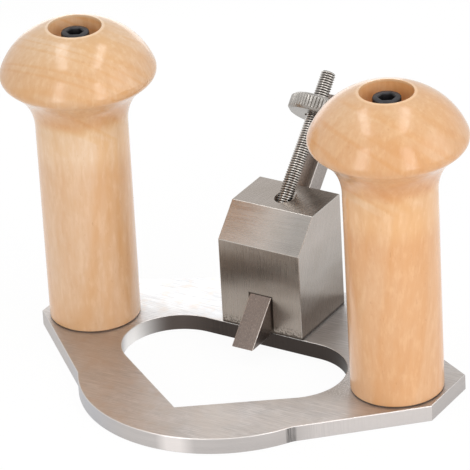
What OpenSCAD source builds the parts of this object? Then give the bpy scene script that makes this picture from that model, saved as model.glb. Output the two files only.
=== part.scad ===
// Router plane with two turned handles: a pierced steel base plate, a steel block that carries
// an inclined square cutter, a threaded stud and a knurled nut that sets the cutter's depth.
// Units are millimetres. X runs from handle to handle, +Y to the rear, +Z up.
// The origin is on the sole, under the middle of the block.

/* [Base plate] */
// Width of the base plate from side edge to side edge
plate_w = 160; // [140:1:190]
// Thickness of the base plate
plate_t = 6; // [4.5:0.5:9]
// How far the front ends of the side edges lie in front of the block's front face
side_front = 21; // [18:0.5:28]
// Length of each straight side edge
side_len = 24.5; // [18:0.5:30]
// How far the rear edge lies behind the block's rear face
rear_margin = 7.5; // [4:0.5:15]
// Width of the straight rear edge
rear_w = 33; // [20:1:60]
// Radius of the round nose
nose_r = 50.8; // [48:0.2:60]
// Width of the nose where it meets the slanted front edges
nose_w = 87.2; // [80:0.4:92]
// How far those meeting points lie in front of the block's front face
nose_reach = 54.4; // [50:0.2:60]
// Radius of the fillets between the nose and the slanted front edges
nose_fillet_r = 10; // [6:1:20]

/* [Throat] */
// Radius of the round ends of the throat hole
lobe_r = 20; // [16:0.5:21]
// Distance between the centres of those round ends
lobe_spacing = 46.2; // [38:0.2:48]
// How far the throat's front point lies in front of the block's front face
throat_reach = 60.3; // [52:0.1:66]

/* [Block] */
// Width of the block
block_w = 33; // [28:0.5:42]
// Depth of the block from front to rear
block_d = 30.5; // [28:0.5:36]
// Height of the block above the base plate
block_h = 44.3; // [41:0.1:52]
// Size of the large chamfer on the block's top front edge
block_chamfer = 11; // [6:0.5:12]

/* [Block screws] */
// Distance between the two screws that hold the block from below
block_screw_spacing = 21; // [19:0.5:23]
// Thread diameter of the block screws
block_screw_d = 5; // [4:0.5:6]
// Head diameter of the block screws
block_screw_head_d = 9.4; // [8.6:0.2:10.4]
// How far the block screws reach into the block
block_screw_reach = 12; // [8:0.5:18]
// Hexagon socket of the block screws, across flats
block_screw_hex = 3; // [2.5:0.5:3.5]
// Depth of that socket
block_screw_hex_depth = 1.6; // [1:0.1:2]
// How far the heads lie above the sole
block_screw_sink = 0.2; // [0.1:0.1:0.6]
// Chamfer at a block screw's tip
block_screw_tip = 0.5; // [0.2:0.1:1]

/* [Cutter] */
// Lean of the cutter and the stud from the vertical, in degrees
tilt = 45; // [43:0.5:47]
// Width of the cutter bar
cutter_w = 8.6; // [7:0.1:10]
// Thickness of the cutter bar
cutter_t = 8.4; // [7:0.1:9.6]
// Length of the cutter bar along its front face
cutter_len = 98.5; // [90:0.5:110]
// Height of the cutting edge above the sole at rest
edge_height = 5.8; // [2:0.1:10]
// How far the cutter's channel cuts past the block's rear top edge
channel_break = 0.35; // [0.2:0.05:1]
// Play of the cutter in its channel on each side
slide_gap = 0.1; // [0.05:0.01:0.2]

/* [Depth adjuster] */
// Diameter of the stud's thread
stud_d = 5.5; // [4.5:0.1:6.4]
// Pitch of the stud's thread
stud_pitch = 0.9; // [0.7:0.05:1.2]
// Depth of the thread
thread_depth = 0.48; // [0.2:0.02:0.5]
// Length of the stud above the block's top face, along its axis
stud_rise = 48; // [44:0.2:56]
// Length of the stud inside the block, along its axis
stud_embed = 18; // [14:0.5:22]
// Distance from the stud's axis to the cutter's front face
stud_offset = 6.8; // [6:0.1:8]
// Diameter of the wide mouth of the stud's hole
stud_mouth_d = 7.3; // [7:0.1:8.4]
// Depth of that wide mouth, along the stud's axis
stud_mouth_depth = 8; // [4:0.5:10]
// Diameter of the knurled nut
nut_d = 20; // [18.4:0.2:22]
// Thickness of the knurled nut
nut_t = 6; // [4:0.2:8]
// Distance along the stud from the block's top face to the nut's lower face
nut_rise = 30.8; // [29:0.2:34]
// Size of the chamfers on the nut's rims
nut_chamfer = 1; // [0.4:0.1:1.6]
// Number of ribs round the nut
nut_ribs = 50; // [40:1:72]
// Play of the nut in the cutter's notch on each side
notch_gap = 0.15; // [0.1:0.05:0.3]

/* [Lock screw] */
// Thread diameter of the lock screw at the rear of the block
lock_d = 6; // [5:0.5:7]
// Height of the lock screw's axis above the base plate
lock_rise = 21; // [18:0.5:23]
// Diameter of the lock screw's knurled head
lock_head_d = 14; // [10:0.5:16]
// Length of the lock screw's knurled head
lock_head_len = 8; // [5:0.5:12]
// Space between the block's rear face and the lock screw's head
lock_standoff = 3; // [1:0.5:6]
// Number of ribs round the lock screw's head
lock_ribs = 36; // [24:1:48]
// Clearance between the lock screw's point and the slackened cutter
lock_gap = 0.3; // [0.2:0.05:0.6]

/* [Handles] */
// Distance from the base plate's side edge to each handle's axis
handle_inset = 17.8; // [17:0.1:22]
// How far the handles' axes lie in front of the block's front face
handle_front = 13.1; // [8:0.1:18]
// Diameter of the handle's shaft at its foot
shaft_d = 32.8; // [28:0.2:34]
// Diameter of the handle's shaft under the knob
neck_d = 33; // [30:0.2:37]
// Diameter of the knob
knob_d = 55.4; // [52:0.2:62]
// Height of the knob's widest ring above the base plate
knob_rise = 96.2; // [80:0.2:110]
// Radius of the knob's edge above its widest ring
knob_edge_r = 4; // [2:0.1:8]
// Turn of that edge before the crown begins, in degrees
knob_edge_turn = 22; // [15:1:30]
// Radius of the knob's crown
crown_r = 26.3; // [24:0.1:29]
// Radius of the knob's lower lip
lip_r = 3.4; // [2.4:0.1:5]
// Turn of the lower lip before the sloping underside begins, in degrees
lip_turn = 49; // [42:1:54]
// Radius of the cove between the knob's underside and the shaft
neck_fillet_r = 20; // [12:0.5:21]

/* [Handle screws] */
// Diameter of the recess in the knob's top
recess_d = 18.8; // [17:0.2:22]
// Depth of that recess
recess_depth = 8; // [7:0.1:14]
// Thread diameter of the handle screws
screw_d = 6; // [5:0.5:7]
// Head diameter of the handle screws
screw_head_d = 10; // [9.4:0.2:12]
// Head height of the handle screws
screw_head_h = 6; // [4:0.5:6.5]
// Hexagon socket of the handle screws, across flats
screw_hex = 5; // [4:0.5:6]
// Depth of that socket
screw_hex_depth = 3; // [2:0.5:3.5]
// Chamfer at the heads and tips of the handle screws
screw_edge = 0.5; // [0.2:0.1:1]
// Play of the handle screws in the wood on each side
wood_gap = 0.25; // [0.1:0.05:0.5]
// Height of the handle screws' ends above the sole
screw_end_gap = 0.5; // [0.2:0.1:1.5]

/* [Fits] */
// Play of each thread in its tapped hole on each side
thread_gap = 0.05; // [0.03:0.01:0.08]

/* [Hidden] */
$fn = 96;

steel = [0.66, 0.64, 0.61];
tool_steel = [0.56, 0.53, 0.51];
bright_steel = [0.72, 0.70, 0.67];
beech = [0.88, 0.69, 0.47];
black_steel = [0.12, 0.12, 0.13];

eps = 1;
// A straight side that blends into an arc cuts into it by this much, so the two really cross
bite = 0.01;
front_y = -block_d / 2;
rear_y = block_d / 2;
top_z = plate_t + block_h;

nose_half = nose_w / 2;
nose_y = front_y - nose_reach;
nose_center_y = nose_y + sqrt(nose_r * nose_r - nose_half * nose_half);
side_front_y = front_y - side_front;
side_rear_y = side_front_y + side_len;
plate_rear_y = rear_y + rear_margin;

// The fillet on the right lies outside the slanted front edge and the nose, and touches both
slant_start = [nose_half, nose_y];
slant_run = [plate_w / 2, side_front_y] - slant_start;
slant_dir = slant_run / norm(slant_run);
slant_out = [slant_dir[1], -slant_dir[0]];
nose_center = [0, nose_center_y];
fillet_reach = nose_r + nose_fillet_r;
fillet_base = slant_start + nose_fillet_r * slant_out - nose_center;
fillet_shift = -fillet_base * slant_dir
    + sqrt(pow(fillet_base * slant_dir, 2) - fillet_base * fillet_base + fillet_reach * fillet_reach);
nose_fillet_center = nose_center + fillet_base + fillet_shift * slant_dir;
slant_touch = nose_fillet_center - nose_fillet_r * slant_out;
nose_touch = nose_center + nose_r * (nose_fillet_center - nose_center) / fillet_reach;

lobe_x = lobe_spacing / 2;
lobe_y = front_y - lobe_r;
throat_y = front_y - throat_reach;
lobe_reach = norm([lobe_x, lobe_y - throat_y]);
throat_turn = atan2(lobe_y - throat_y, lobe_x) - asin((lobe_r - bite) / lobe_reach);
throat_side = sqrt(pow(lobe_reach, 2) - pow(lobe_r - bite, 2));

// In the leaning frame Z runs up along the cutter and Y from the stud to the cutter.
// Its origin is the middle of the block's rear top edge.
cutter_face = slide_gap - channel_break;
cutter_back = cutter_face + cutter_t;
stud_y = cutter_face - stud_offset;
stud_mouth_z = stud_y * tan(tilt);
nut_z = stud_mouth_z + nut_rise;
edge_z = (edge_height - top_z + sin(tilt) * cutter_face) / cos(tilt);
cutter_end_z = edge_z + cutter_len;
cutter_foot = (cutter_t + cutter_w) * 2;
notch_floor = stud_y + nut_d / 2 + 2 * notch_gap;

lock_z = plate_t + lock_rise;
lock_wall_y = rear_y + (cutter_back + (lock_z - top_z) * sin(tilt)) / cos(tilt);
lock_point_y = lock_wall_y + lock_gap / cos(tilt);
lock_cone_len = lock_d / 2 * tan(tilt);
lock_flat_r = lock_d / 8;
lock_head_y = rear_y + lock_standoff;

handle_x = plate_w / 2 - handle_inset;
handle_y = front_y - handle_front;
knob_r = knob_d / 2;
neck_r = neck_d / 2;
edge_center = [knob_r - knob_edge_r, knob_rise];
edge_dir = [cos(knob_edge_turn), sin(knob_edge_turn)];
edge_end = edge_center + knob_edge_r * edge_dir;
crown_center = edge_end - crown_r * edge_dir;
recess_r = recess_d / 2;
crown_turn = acos((recess_r - crown_center[0]) / crown_r);
mouth_h = crown_center[1] + crown_r * sin(crown_turn);
lip_center = [knob_r - lip_r, knob_rise];
lip_dir = [cos(lip_turn), -sin(lip_turn)];
lip_end = lip_center + lip_r * lip_dir;
fillet_x = neck_r + neck_fillet_r;
fillet_h = lip_end[1] + (neck_fillet_r - (fillet_x - lip_end[0]) * lip_dir[0]) / lip_dir[1];
fillet_center = [fillet_x, fillet_h];
fillet_end = fillet_center - neck_fillet_r * lip_dir;
recess_floor_h = mouth_h - recess_depth;
bore_r = screw_d / 2 + wood_gap;

block_head_h = (block_screw_head_d - block_screw_d) / 2;
block_hole_r = block_screw_d / 2 + thread_gap;

// Part of a disc between two angles, for arcs of less than 110 degrees
module wedge(center, r, from, to) {
    intersection() {
        translate(center) circle(r = r);
        polygon([center,
                 center + 2 * r * [cos(from), sin(from)],
                 center + 2 * r * [cos(to), sin(to)]]);
    }
}

// Places its children in the leaning frame of the cutter and the stud
module leaning() {
    translate([0, rear_y, top_z]) rotate([-tilt, 0, 0]) children();
}

// Round stock with ribs along it and a chamfer at each end
module knurled(d, h, ribs, chamfer) {
    r = d / 2;
    groove_r = 0.34 * 3.1416 * d / ribs;
    intersection() {
        linear_extrude(h) difference() {
            circle(r = r);
            for (i = [0:ribs - 1]) {
                a = i * 360 / ribs;
                translate((r + 0.45 * groove_r) * [cos(a), sin(a)]) circle(r = groove_r, $fn = 16);
            }
        }
        rotate_extrude() polygon([[0, 0], [r - chamfer, 0], [r, chamfer], [r, h - chamfer],
                                  [r - chamfer, h], [0, h]]);
    }
}

// An outline's right half followed by its reflection
function both(half) = concat(half, [for (i = [len(half) - 1:-1:0]) [-half[i][0], half[i][1]]]);

module throat() {
    right = [0, throat_y] + throat_side * [cos(throat_turn), sin(throat_turn)];
    for (s = [-1, 1]) translate([s * lobe_x, lobe_y]) circle(r = lobe_r);
    polygon(both([[0, throat_y], right, [lobe_x, front_y]]));
}

module plate_outline() {
    difference() {
        union() {
            translate(nose_center) circle(r = nose_r);
            polygon(both([nose_touch, nose_fillet_center, slant_touch, [plate_w / 2, side_front_y],
                          [plate_w / 2, side_rear_y], [rear_w / 2, plate_rear_y]]));
        }
        for (s = [-1, 1]) translate([s * nose_fillet_center[0], nose_fillet_center[1]])
            circle(r = nose_fillet_r + bite);
    }
}

module base_plate() {
    color(steel) difference() {
        linear_extrude(plate_t) difference() {
            plate_outline();
            throat();
        }
        for (s = [-1, 1]) {
            translate([s * handle_x, handle_y, -eps])
                cylinder(r = screw_d / 2 + thread_gap, h = plate_t + 2 * eps);
            translate([s * block_screw_spacing / 2, 0, 0]) rotate_extrude()
                polygon([[0, -eps],
                         [block_screw_head_d / 2 + thread_gap + block_screw_sink + eps, -eps],
                         [block_hole_r, block_head_h + block_screw_sink],
                         [block_hole_r, plate_t + eps], [0, plate_t + eps]]);
        }
    }
}

module cutter_block() {
    channel_w = cutter_w + 2 * slide_gap;
    channel_t = cutter_t + 2 * slide_gap;
    reach = block_d + block_h;
    color(steel) difference() {
        translate([-block_w / 2, front_y, plate_t]) cube([block_w, block_d, block_h]);
        translate([0, front_y, top_z]) rotate([45, 0, 0])
            cube([block_w + 2 * eps, block_chamfer * sqrt(2), block_chamfer * sqrt(2)], center = true);
        leaning() translate([-channel_w / 2, -channel_break, -2 * reach])
            cube([channel_w, channel_t, 3 * reach]);
        leaning() translate([0, stud_y, stud_mouth_z - stud_embed])
            cylinder(r = stud_d / 2 + thread_gap, h = stud_embed + stud_mouth_d);
        leaning() translate([0, stud_y, stud_mouth_z - stud_mouth_depth])
            cylinder(d = stud_mouth_d, h = stud_mouth_depth + 2 * stud_mouth_d);
        translate([0, rear_y + eps, lock_z]) rotate([90, 0, 0])
            cylinder(r = lock_d / 2 + thread_gap, h = rear_y + eps - lock_wall_y + lock_cone_len);
        for (s = [-1, 1]) translate([s * block_screw_spacing / 2, 0, plate_t - eps])
            cylinder(r = block_hole_r, h = block_screw_reach + 2 * eps);
    }
}

module block_screws() {
    tip_z = plate_t + block_screw_reach;
    color(bright_steel) for (s = [-1, 1]) translate([s * block_screw_spacing / 2, 0, 0])
        difference() {
            rotate_extrude() polygon([[0, block_screw_sink],
                                      [block_screw_head_d / 2, block_screw_sink],
                                      [block_screw_d / 2, block_screw_sink + block_head_h],
                                      [block_screw_d / 2, tip_z - block_screw_tip],
                                      [block_screw_d / 2 - block_screw_tip, tip_z],
                                      [0, tip_z]]);
            translate([0, 0, block_screw_sink - eps])
                cylinder(d = block_screw_hex / cos(30), h = block_screw_hex_depth + eps, $fn = 6);
        }
}

module cutter() {
    color(tool_steel) difference() {
        leaning() difference() {
            translate([-cutter_w / 2, cutter_face, edge_z - cutter_foot])
                cube([cutter_w, cutter_t, cutter_len + cutter_foot]);
            translate([-cutter_w, cutter_face - eps, nut_z - notch_gap])
                cube([2 * cutter_w, notch_floor - cutter_face + eps, nut_t + 2 * notch_gap]);
        }
        translate([-cutter_w, front_y - 3 * cutter_foot, edge_height - 3 * cutter_foot])
            cube([2 * cutter_w, 6 * cutter_foot, 3 * cutter_foot]);
    }
}

// The thread is drawn as closed V grooves, one for each turn
module adjuster_stud() {
    r = stud_d / 2;
    low = stud_mouth_z - stud_embed;
    high = stud_mouth_z + stud_rise;
    turns = floor((high - low - 2 * stud_pitch) / stud_pitch);
    grooves = [for (i = [0:turns - 1]) each [
        [r, low + (i + 1) * stud_pitch],
        [r - thread_depth, low + (i + 1.5) * stud_pitch]]];
    color(bright_steel) leaning() translate([0, stud_y, 0]) rotate_extrude()
        polygon(concat([[0, low], [r - thread_depth, low], [r, low + 0.6 * stud_pitch]],
                       grooves,
                       [[r, low + (turns + 1) * stud_pitch], [r, high - thread_depth],
                        [r - thread_depth, high], [0, high]]));
}

module adjuster_nut() {
    bore = stud_d / 2 + thread_gap;
    sink = 0.6;
    color(bright_steel) leaning() translate([0, stud_y, nut_z]) difference() {
        knurled(nut_d, nut_t, nut_ribs, nut_chamfer);
        rotate_extrude() polygon([[0, -eps], [bore + sink + eps, -eps], [bore, sink],
                                  [bore, nut_t - sink], [bore + sink + eps, nut_t + eps],
                                  [0, nut_t + eps]]);
    }
}

module lock_screw() {
    r = lock_d / 2;
    color(bright_steel) {
        translate([0, lock_point_y, lock_z]) rotate([-90, 0, 0]) rotate_extrude()
            polygon([[0, lock_flat_r * tan(tilt)], [lock_flat_r, lock_flat_r * tan(tilt)],
                     [r, lock_cone_len], [r, lock_head_y - lock_point_y + eps],
                     [0, lock_head_y - lock_point_y + eps]]);
        translate([0, lock_head_y, lock_z]) rotate([-90, 0, 0])
            knurled(lock_head_d, lock_head_len, lock_ribs, 0.8);
    }
}

module handle_profile() {
    difference() {
        union() {
            polygon([[0, 0], [shaft_d / 2, 0], [neck_r, fillet_h], fillet_center, fillet_end,
                     lip_end, [knob_r, knob_rise], edge_end, [recess_r, mouth_h], [0, mouth_h]]);
            wedge(lip_center, lip_r, -lip_turn, 0);
            wedge(edge_center, knob_edge_r, 0, knob_edge_turn);
            wedge(crown_center, crown_r, knob_edge_turn, crown_turn);
        }
        translate(fillet_center) circle(r = neck_fillet_r + bite);
        translate([0, recess_floor_h]) square([recess_r, crown_r]);
        translate([0, -eps]) square([bore_r, mouth_h + eps]);
    }
}

module handle(side) {
    color(beech) translate([side * handle_x, handle_y, plate_t]) rotate_extrude() handle_profile();
}

module handle_screw(side) {
    seat = plate_t + recess_floor_h;
    r = screw_d / 2;
    head_r = screw_head_d / 2;
    color(black_steel) translate([side * handle_x, handle_y, 0]) difference() {
        rotate_extrude() polygon([[0, screw_end_gap], [r - screw_edge, screw_end_gap],
                                  [r, screw_end_gap + screw_edge], [r, seat], [head_r, seat],
                                  [head_r, seat + screw_head_h - screw_edge],
                                  [head_r - screw_edge, seat + screw_head_h],
                                  [0, seat + screw_head_h]]);
        translate([0, 0, seat + screw_head_h - screw_hex_depth])
            cylinder(d = screw_hex / cos(30), h = screw_hex_depth + eps, $fn = 6);
    }
}

module left_handle() handle(-1);
module right_handle() handle(1);
module left_handle_screw() handle_screw(-1);
module right_handle_screw() handle_screw(1);

base_plate();
cutter_block();
block_screws();
cutter();
adjuster_stud();
adjuster_nut();
lock_screw();
left_handle();
right_handle();
left_handle_screw();
right_handle_screw();
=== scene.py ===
# Looks of the router plane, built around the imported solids. Lengths are in millimetres until a
# mesh is made, and the frame is that of the solids: X to the right, Y to the back, Z up.
import math

import bmesh
import bpy
import numpy as np
from mathutils import Matrix, Vector
from mathutils.geometry import tessellate_polygon


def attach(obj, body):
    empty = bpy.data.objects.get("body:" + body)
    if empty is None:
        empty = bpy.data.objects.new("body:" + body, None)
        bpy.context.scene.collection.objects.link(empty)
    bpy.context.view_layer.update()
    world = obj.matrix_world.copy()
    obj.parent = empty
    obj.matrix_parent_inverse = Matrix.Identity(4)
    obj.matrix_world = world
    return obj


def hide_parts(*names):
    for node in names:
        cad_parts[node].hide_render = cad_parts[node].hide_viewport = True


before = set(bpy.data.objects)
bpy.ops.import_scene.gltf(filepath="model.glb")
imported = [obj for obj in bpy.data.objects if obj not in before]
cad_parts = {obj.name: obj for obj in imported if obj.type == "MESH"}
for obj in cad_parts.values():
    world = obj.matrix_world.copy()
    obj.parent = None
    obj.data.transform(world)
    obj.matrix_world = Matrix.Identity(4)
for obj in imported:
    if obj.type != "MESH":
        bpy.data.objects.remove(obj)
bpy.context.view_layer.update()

MM = 0.001
MICRON = 1e-6
COS45 = math.sqrt(0.5)

# The block's faces, the plate's thickness and the places of the pieces on it
FRONT_Y, REAR_Y, TOP_Z, PLATE_T = -15.25, 15.25, 50.3, 6.0
HANDLE_X, HANDLE_Y = 62.2, -28.35
NOSE_Y = -43.58
BLOCK_SCREW_X = 10.5
LOCK_Z = 27.0
# The leaning frame of the cutter and the stud has its origin on the block's top rear edge. Its Z
# runs up and back at 45 degrees, its Y down and back. The stud's axis leaves the block's top face
# at this Y and Z.
STUD_AT = -7.05
# The cutter's half width, and where its section begins and ends in the leaning Y
CUTTER_HALF, CUTTER_NEAR, CUTTER_FAR = 4.3, -0.25, 8.15


def make_camera():
    """The photo's camera, fitted to the part's corners and outlines."""
    right = Vector((0.8587967, 0.5098875, -0.049829))
    up = Vector((-0.1984788, 0.4207993, 0.8851746))
    back = Vector((0.4723074, -0.7502951, 0.4625829))
    place = Vector((720.101, -1173.846, 756.834)) * MM
    sensor, focal_px, photo_px = 36.0, 4365.4, 470
    data = bpy.data.cameras.new("camera")
    data.sensor_width = sensor
    data.sensor_fit = "HORIZONTAL"
    data.lens = sensor * focal_px / photo_px
    data.clip_start = 0.05
    data.clip_end = 50
    obj = bpy.data.objects.new("camera", data)
    bpy.context.scene.collection.objects.link(obj)
    turn = Matrix((right, up, back)).transposed().to_4x4()
    obj.matrix_world = Matrix.Translation(place) @ turn
    bpy.context.scene.camera = obj


class Graph:
    """The nodes of one material or world. A call adds a node and returns its output. A value is a
    number, a tuple or another node's output."""

    def __init__(self, owner, output_kind):
        owner.use_nodes = True
        self.nodes, self.links = owner.node_tree.nodes, owner.node_tree.links
        self.nodes.clear()
        self.output = self.nodes.new(output_kind)

    def put(self, socket, value):
        if isinstance(value, (int, float)):
            socket.default_value = value
        elif isinstance(value, tuple):
            socket.default_value = (*value, 1.0) if socket.type == "RGBA" else value
        else:
            self.links.new(value, socket)

    def calc(self, operation, *values, kind="ShaderNodeMath"):
        node = self.nodes.new(kind)
        node.operation = operation
        for socket, value in zip(node.inputs, values):
            self.put(socket, value)
        return node.outputs[0]

    def vector(self, operation, *values):
        return self.calc(operation, *values, kind="ShaderNodeVectorMath")

    def noise(self, vector, scale, detail=4.0, rough=0.55, result="Fac"):
        node = self.nodes.new("ShaderNodeTexNoise")
        node.inputs["Scale"].default_value = scale
        node.inputs["Detail"].default_value = detail
        node.inputs["Roughness"].default_value = rough
        self.links.new(vector, node.inputs["Vector"])
        return node.outputs[result]

    def mapped(self, vector, scale=(1, 1, 1), turn=(0, 0, 0), move=(0, 0, 0)):
        """A vector scaled, then turned, then moved."""
        node = self.nodes.new("ShaderNodeMapping")
        node.inputs["Scale"].default_value = scale
        node.inputs["Rotation"].default_value = turn
        node.inputs["Location"].default_value = move
        self.links.new(vector, node.inputs["Vector"])
        return node.outputs[0]

    def ramp(self, value, start, end, first=0.0, last=1.0):
        """first where the value is at start or before it, last from end on, even in between."""
        node = self.nodes.new("ShaderNodeMapRange")
        node.inputs["From Min"].default_value = start
        node.inputs["From Max"].default_value = end
        node.inputs["To Min"].default_value = first
        node.inputs["To Max"].default_value = last
        self.links.new(value, node.inputs["Value"])
        return node.outputs[0]

    def product(self, *values):
        out = values[0]
        for value in values[1:]:
            out = self.calc("MULTIPLY", out, value)
        return out

    def most(self, *values):
        out = values[0]
        for value in values[1:]:
            out = self.calc("MAXIMUM", out, value)
        return out

    def between(self, value, a, b, c, d):
        """0 below a, 1 from b to c, 0 above d."""
        return self.product(self.ramp(value, a, b), self.ramp(value, c, d, 1, 0))

    def mix(self, share, a, b, blend="MIX"):
        node = self.nodes.new("ShaderNodeMix")
        node.data_type = "RGBA"
        node.blend_type = blend
        for index, value in ((0, share), (6, a), (7, b)):
            self.put(node.inputs[index], value)
        return node.outputs[2]

    def cover(self, color, mask, over):
        return self.mix(mask, color, over)

    def tint(self, color, mask, factor):
        """Multiplies a colour, so that its texture stays."""
        return self.mix(mask, color, factor, "MULTIPLY")

    def bump(self, height, strength, microns, socket):
        node = self.nodes.new("ShaderNodeBump")
        node.inputs["Strength"].default_value = strength
        node.inputs["Distance"].default_value = microns * MICRON
        self.links.new(height, node.inputs["Height"])
        self.links.new(node.outputs[0], socket)

    def place(self):
        """The place on the piece, in metres."""
        return self.nodes.new("ShaderNodeTexCoord").outputs["Object"]

    def surface(self):
        """X, Y and Z of the surface in millimetres, and X, Y and Z of its normal."""
        tex = self.nodes.new("ShaderNodeTexCoord")
        scaled = self.nodes.new("ShaderNodeVectorMath")
        scaled.operation = "SCALE"
        scaled.inputs["Scale"].default_value = 1 / MM
        self.links.new(tex.outputs["Object"], scaled.inputs[0])
        at = self.nodes.new("ShaderNodeSeparateXYZ")
        facing = self.nodes.new("ShaderNodeSeparateXYZ")
        self.links.new(scaled.outputs[0], at.inputs[0])
        self.links.new(tex.outputs["Normal"], facing.inputs[0])
        return tuple(at.outputs), tuple(facing.outputs)


def new_material(name):
    mat = bpy.data.materials.new(name)
    g = Graph(mat, "ShaderNodeOutputMaterial")
    shader = g.nodes.new("ShaderNodeBsdfPrincipled")
    g.links.new(shader.outputs[0], g.output.inputs[0])
    return mat, g, shader


def times(color, factor):
    """A colour times a number or times three, each channel at most 1."""
    factors = factor if isinstance(factor, tuple) else (factor,) * 3
    return tuple(min(1.0, c * k) for c, k in zip(color, factors))


# Steel. Its UV map, named grain, runs along the grain in U, in units of 10 mm. In what adds wear
# and painted light, x, y and z are millimetres, and ramp and between say from where to where a mark
# lies.
def streaks(g, uv, along, across, detail=4.0, seed=0.0, turn=0.0):
    """Noise drawn out along U."""
    drawn = g.mapped(uv, (along, across, 1), (0, 0, turn), (seed, seed * 0.7, 0))
    return g.noise(drawn, 1.0, detail, 0.65)


def scratch(g, uv, seed, turn, along, across, start, end):
    """Scattered thin scratches at an angle to the grain, 0 to 1."""
    return g.ramp(streaks(g, uv, along, across, 2.0, seed, turn), start, end)


def brushed(name, base, rough, grain, cloud, aniso, bump_um, spot_color=None, wear_and_light=None):
    """Brushed or ground steel. grain is the width of its streaks, cloud their contrast, and the
    function passed in adds what only one piece has: its wear and its painted light and shade."""
    mat, g, shader = new_material(name)
    uv_node = g.nodes.new("ShaderNodeUVMap")
    uv_node.uv_map = "grain"
    uv = uv_node.outputs[0]
    fine = streaks(g, uv, 0.7, 34 / grain, 5)
    wide = streaks(g, uv, 0.25, 7 / grain, 4, 3.1)
    spots = g.noise(g.mapped(uv, (0.55, 0.9, 1)), 1.3, 3, 0.5)
    grit = g.noise(uv, 26.0, 3, 0.7)
    mixed = g.calc("ADD", g.product(fine, 0.6), g.product(wide, 0.4))
    color = g.mix(g.ramp(mixed, 0.34, 0.66),
                  times(base, 1 - 2.2 * cloud), times(base, 1 + 1.8 * cloud))
    color = g.cover(color, g.ramp(spots, 0.38, 0.68, 0.0, 0.65),
                    spot_color or times(base, 1 - 1.5 * cloud))
    color = g.cover(color, g.ramp(grit, 0.56, 0.74, 0.0, 0.45), times(base, 1 - 3.5 * cloud))
    light = scratch(g, uv, 7.7, 0.35, 0.7, 26, 0.62, 0.72)
    color = g.cover(color, g.product(light, 0.3), times(base, 1.25))
    if wear_and_light:
        color = wear_and_light(g, color, uv, base)
    g.links.new(color, shader.inputs["Base Color"])
    shader.inputs["Metallic"].default_value = 1.0
    g.links.new(g.ramp(mixed, 0.3, 0.7, rough * 0.85, rough * 1.2), shader.inputs["Roughness"])
    shader.inputs["Anisotropic"].default_value = aniso
    shader.inputs["Anisotropic Rotation"].default_value = 0.25
    tangent = g.nodes.new("ShaderNodeTangent")
    tangent.direction_type = "UV_MAP"
    tangent.uv_map = "grain"
    g.links.new(tangent.outputs[0], shader.inputs["Tangent"])
    g.bump(g.calc("ADD", mixed, g.product(grit, 0.3)), 1.0, bump_um, shader.inputs["Normal"])
    return mat


# How squarely a normal has to look along a direction: where a mask begins and where it is full
ROUGHLY, SQUARELY = (0.8, 0.95), (0.9, 0.98)

# Painted edge highlights, pale as bare steel; a painted reflection; and dirt with painted shade
PLATE_EDGE_SHINE, BLOCK_EDGE_SHINE, CUTTER_EDGE_SHINE = (0.72, 0.70, 0.68), (0.70, 0.67, 0.64), (0.66, 0.63, 0.60)
THROAT_REFLECTION, GRIME_AND_SHADE = (0.93, 0.92, 0.91), (0.05, 0.038, 0.03)


def outward(g, ny, nz):
    """How squarely a normal looks out of a front slope of 45 degrees."""
    return g.product(g.calc("SUBTRACT", nz, ny), COS45)


def edge_mask(g, *flats):
    """1 on a body's rounded edges, 0 on its flats. flats are how squarely each flat is faced."""
    return g.ramp(g.most(*flats), 0.995, 0.93)


def top_wear_and_light(g, color, uv, base):
    """The plate's top: criss-cross scratches, brown and rusty patches, painted reflections that
    lighten its rear left and front right, painted glints and painted highlights on its edges."""
    (x, y, _), (_, _, nz) = g.surface()
    pale, dark = 1.35, 0.68
    # Seed, angle, fineness, strength and tone of each set of scratches
    for seed, turn, across, strength, tone in (
            (1.3, 0.9, 24, 0.55, pale), (4.9, -0.55, 28, 0.55, pale), (8.2, 1.9, 22, 0.5, dark),
            (2.4, -1.25, 24, 0.5, dark), (6.6, 0.25, 28, 0.5, dark), (9.4, 2.6, 26, 0.5, pale)):
        line = scratch(g, uv, seed, turn, 0.9, across, 0.54, 0.66)
        color = g.cover(color, g.product(line, strength), times(base, tone))
    patch = g.noise(uv, 0.55, 3, 0.6)
    brown = g.product(g.ramp(patch, 0.35, 0.62, 0.1, 1.0), g.ramp(y, 5, -40, 0.0, 0.6))
    color = g.cover(color, brown, times(base, (1.13, 1.06, 0.99)))
    rust = g.noise(uv, 1.5, 6, 0.68)
    rusty = g.product(g.ramp(rust, 0.5, 0.64, 0, 0.55), g.ramp(x, 20, -10, 0.15, 1))
    color = g.cover(color, rusty, times(base, (1.0, 0.87, 0.76)))
    color = g.cover(color, g.ramp(rust, 0.46, 0.34, 0, 0.4), times(base, 1.25))
    # Painted reflection: the rear left of the top is made much lighter
    rear_left_reflection = g.product(g.ramp(y, -42, -8), g.ramp(x, 22, 4), g.ramp(patch, 0.3, 0.7, 1.0, 0.85))
    color = g.tint(color, rear_left_reflection, (1.96, 2.10, 2.22))
    # Painted reflection: the front right of the top is made lighter
    front_right = g.product(g.between(x, 6, 26, 56, 66), g.ramp(y, -43, -51, 0, 0.9),
                            g.ramp(y, -72, -80, 1, 0.45))
    color = g.tint(color, front_right, (1.42, 1.44, 1.46))
    # Painted glints: bright specks right of the block
    painted_glints = g.product(g.between(x, 36, 41, 48, 56), g.between(y, -48, -42, -30, -22),
                       g.ramp(g.noise(uv, 17.0, 2, 0.5), 0.5, 0.62, 0, 0.75))
    color = g.cover(color, painted_glints, times(base, 1.6))
    # Painted highlights on the top's rounded edges
    rim = g.product(g.ramp(nz, 0.985, 0.9), 0.6)
    return g.cover(color, rim, PLATE_EDGE_SHINE)


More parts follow.
